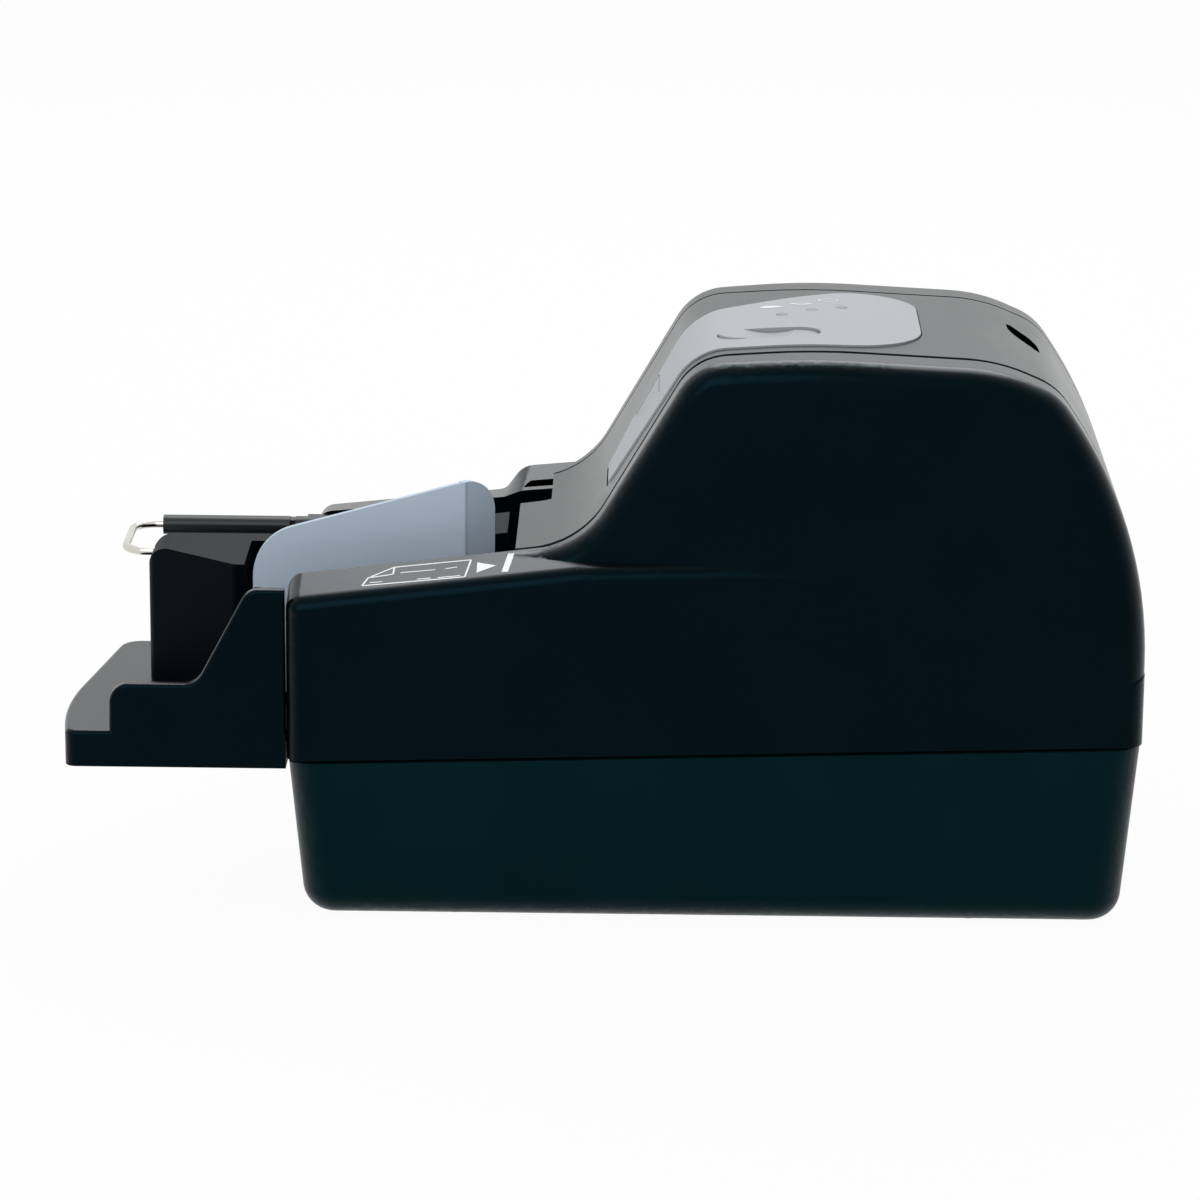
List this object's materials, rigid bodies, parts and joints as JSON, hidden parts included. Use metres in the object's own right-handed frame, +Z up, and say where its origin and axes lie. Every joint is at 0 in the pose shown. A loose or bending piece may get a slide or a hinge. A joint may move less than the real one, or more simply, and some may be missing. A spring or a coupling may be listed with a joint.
{
  "type": "cheque scanner",
  "caption": "Desktop cheque scanner with an upright feeder, a hinged top cover over a U-shaped paper track, a sliding wire stop and an exit pocket.",
  "frame": {"origin": "under the middle of the overall box, at the level of the feet", "axes": "+X to the rear of the machine, +Y to its far side with the exit pocket, +Z up"},
  "size_m": [0.3214, 0.119, 0.1743],
  "materials": {
    "base_plastic": "fine moulded texture",
    "cover_plastic": "fine moulded texture",
    "panel_plastic": "satin",
    "window_plastic": "satin",
    "plate_plastic": "satin",
    "light_plastic": "gloss",
    "nickel": "bright",
    "rubber": "matt",
    "steel": "bright",
    "socket_plastic": "satin",
    "track_plastic": "satin",
    "lens_glass": "clear",
    "magnet": "ground",
    "board": "varnished",
    "motor_steel": "satin",
    "pulley": "turned",
    "roller_plastic": "satin"
  },
  "bodies": {
    "housing": {"base_shell": "base_plastic", "rubber_feet": "rubber", "base_screws": "steel", "right_cover": "cover_plastic", "left_cover": "cover_plastic", "front_tray": "cover_plastic", "centre_wall": "cover_plastic", "pusher_pin": "steel", "pocket_arm": "cover_plastic", "cover_hinge_pin": "steel", "rear_panel": "cover_plastic", "power_jack": "socket_plastic", "usb_socket": "steel", "deck_plate": "track_plastic", "island_frame": "track_plastic", "outer_guide": "track_plastic", "front_camera": "socket_plastic", "front_camera_glass": "lens_glass", "rear_camera": "socket_plastic", "rear_camera_glass": "lens_glass", "magnetic_head": "steel", "magnet_block": "magnet", "main_board": "board", "main_motor": "motor_steel", "feed_motor": "motor_steel", "drive_belt": "rubber", "feed_belt": "rubber", "pinch_pins": "steel", "ink_cartridge": "socket_plastic"},
    "top_cover": {"top_cover": "cover_plastic", "control_panel": "panel_plastic", "panel_window": "window_plastic", "status_lights": "light_plastic"},
    "button": {"feed_button": "panel_plastic"},
    "pusher": {"pusher_plate": "plate_plastic"},
    "wire": {"wire_stop": "nickel"},
    "motor_rotor": {"motor_pulley": "pulley"},
    "feed_roller": {"feed_shaft": "pulley", "feed_tyre": "rubber"},
    "feed_rotor": {"feed_pulley": "pulley"},
    "drive_1": {"drive_shaft_1": "pulley", "drive_tyres_1": "rubber"},
    "pinch_1": {"pinch_roller_1": "roller_plastic"},
    "drive_2": {"drive_shaft_2": "pulley", "drive_tyres_2": "rubber"},
    "pinch_2": {"pinch_roller_2": "roller_plastic"},
    "drive_3": {"drive_shaft_3": "pulley", "drive_tyres_3": "rubber"},
    "pinch_3": {"pinch_roller_3": "roller_plastic"},
    "drive_4": {"drive_shaft_4": "pulley", "drive_tyres_4": "rubber"},
    "pinch_4": {"pinch_roller_4": "roller_plastic"},
    "drive_5": {"drive_shaft_5": "pulley", "drive_tyres_5": "rubber"},
    "pinch_5": {"pinch_roller_5": "roller_plastic"}
  },
  "joints": [
    {"name": "cover_hinge", "type": "hinge", "parent": "housing", "child": "top_cover", "pos_m": [-0.02, 0, 0.1065], "axis": [0, -1, 0], "range_deg": [0, 60]},
    {"name": "button_press", "type": "slide", "parent": "top_cover", "child": "button", "axis": [0, 0, -1], "range_m": [0, 0.001], "stiffness_N_per_m": 400},
    {"name": "pusher_swing", "type": "hinge", "parent": "housing", "child": "pusher", "pos_m": [-0.1035, -0.0215, 0.07], "axis": [0, 0, 1], "range_deg": [-15, 0]},
    {"name": "wire_slide", "type": "slide", "parent": "housing", "child": "wire", "axis": [-1, 0, 0], "range_m": [0, 0.04]},
    {"name": "drive_spin_1", "type": "hinge", "parent": "housing", "child": "drive_1", "pos_m": [0, -0.0337, 0.07], "axis": [0, 0, 1], "continuous": true},
    {"name": "pinch_spin_1", "type": "hinge", "parent": "housing", "child": "pinch_1", "pos_m": [0, -0.0477, 0.07], "axis": [0, 0, 1], "continuous": true},
    {"name": "drive_spin_2", "type": "hinge", "parent": "housing", "child": "drive_2", "pos_m": [0.078, -0.0337, 0.07], "axis": [0, 0, 1], "continuous": true},
    {"name": "pinch_spin_2", "type": "hinge", "parent": "housing", "child": "pinch_2", "pos_m": [0.078, -0.0477, 0.07], "axis": [0, 0, 1], "continuous": true},
    {"name": "drive_spin_3", "type": "hinge", "parent": "housing", "child": "drive_3", "pos_m": [0.1337, 0, 0.07], "axis": [0, 0, 1], "continuous": true},
    {"name": "pinch_spin_3", "type": "hinge", "parent": "housing", "child": "pinch_3", "pos_m": [0.1477, 0, 0.07], "axis": [0, 0, 1], "continuous": true},
    {"name": "drive_spin_4", "type": "hinge", "parent": "housing", "child": "drive_4", "pos_m": [0.078, 0.0337, 0.07], "axis": [0, 0, 1], "continuous": true},
    {"name": "pinch_spin_4", "type": "hinge", "parent": "housing", "child": "pinch_4", "pos_m": [0.078, 0.0477, 0.07], "axis": [0, 0, 1], "continuous": true},
    {"name": "drive_spin_5", "type": "hinge", "parent": "housing", "child": "drive_5", "pos_m": [0, 0.0337, 0.07], "axis": [0, 0, 1], "continuous": true},
    {"name": "pinch_spin_5", "type": "hinge", "parent": "housing", "child": "pinch_5", "pos_m": [0, 0.0477, 0.07], "axis": [0, 0, 1], "continuous": true},
    {"name": "motor_spin", "type": "hinge", "parent": "housing", "child": "motor_rotor", "pos_m": [-0.03, 0, 0.04], "axis": [0, 0, 1], "continuous": true},
    {"name": "feed_spin", "type": "hinge", "parent": "housing", "child": "feed_roller", "pos_m": [-0.042, -0.0492, 0.07], "axis": [0, 0, 1], "continuous": true},
    {"name": "feed_motor_spin", "type": "hinge", "parent": "housing", "child": "feed_rotor", "pos_m": [-0.042, -0.025, 0.04], "axis": [0, 0, 1], "continuous": true}
  ],
  "couplings": [
    {"joint": "pinch_spin_1", "follows": "drive_spin_1", "ratio": -1.8542},
    {"joint": "drive_spin_2", "follows": "drive_spin_1", "ratio": 1},
    {"joint": "pinch_spin_2", "follows": "drive_spin_1", "ratio": -1.8542},
    {"joint": "drive_spin_3", "follows": "drive_spin_1", "ratio": 1},
    {"joint": "pinch_spin_3", "follows": "drive_spin_1", "ratio": -1.8542},
    {"joint": "drive_spin_4", "follows": "drive_spin_1", "ratio": 1},
    {"joint": "pinch_spin_4", "follows": "drive_spin_1", "ratio": -1.8542},
    {"joint": "drive_spin_5", "follows": "drive_spin_1", "ratio": 1},
    {"joint": "pinch_spin_5", "follows": "drive_spin_1", "ratio": -1.8542},
    {"joint": "motor_spin", "follows": "drive_spin_1", "ratio": 1},
    {"joint": "feed_motor_spin", "follows": "feed_spin", "ratio": 1}
  ]
}
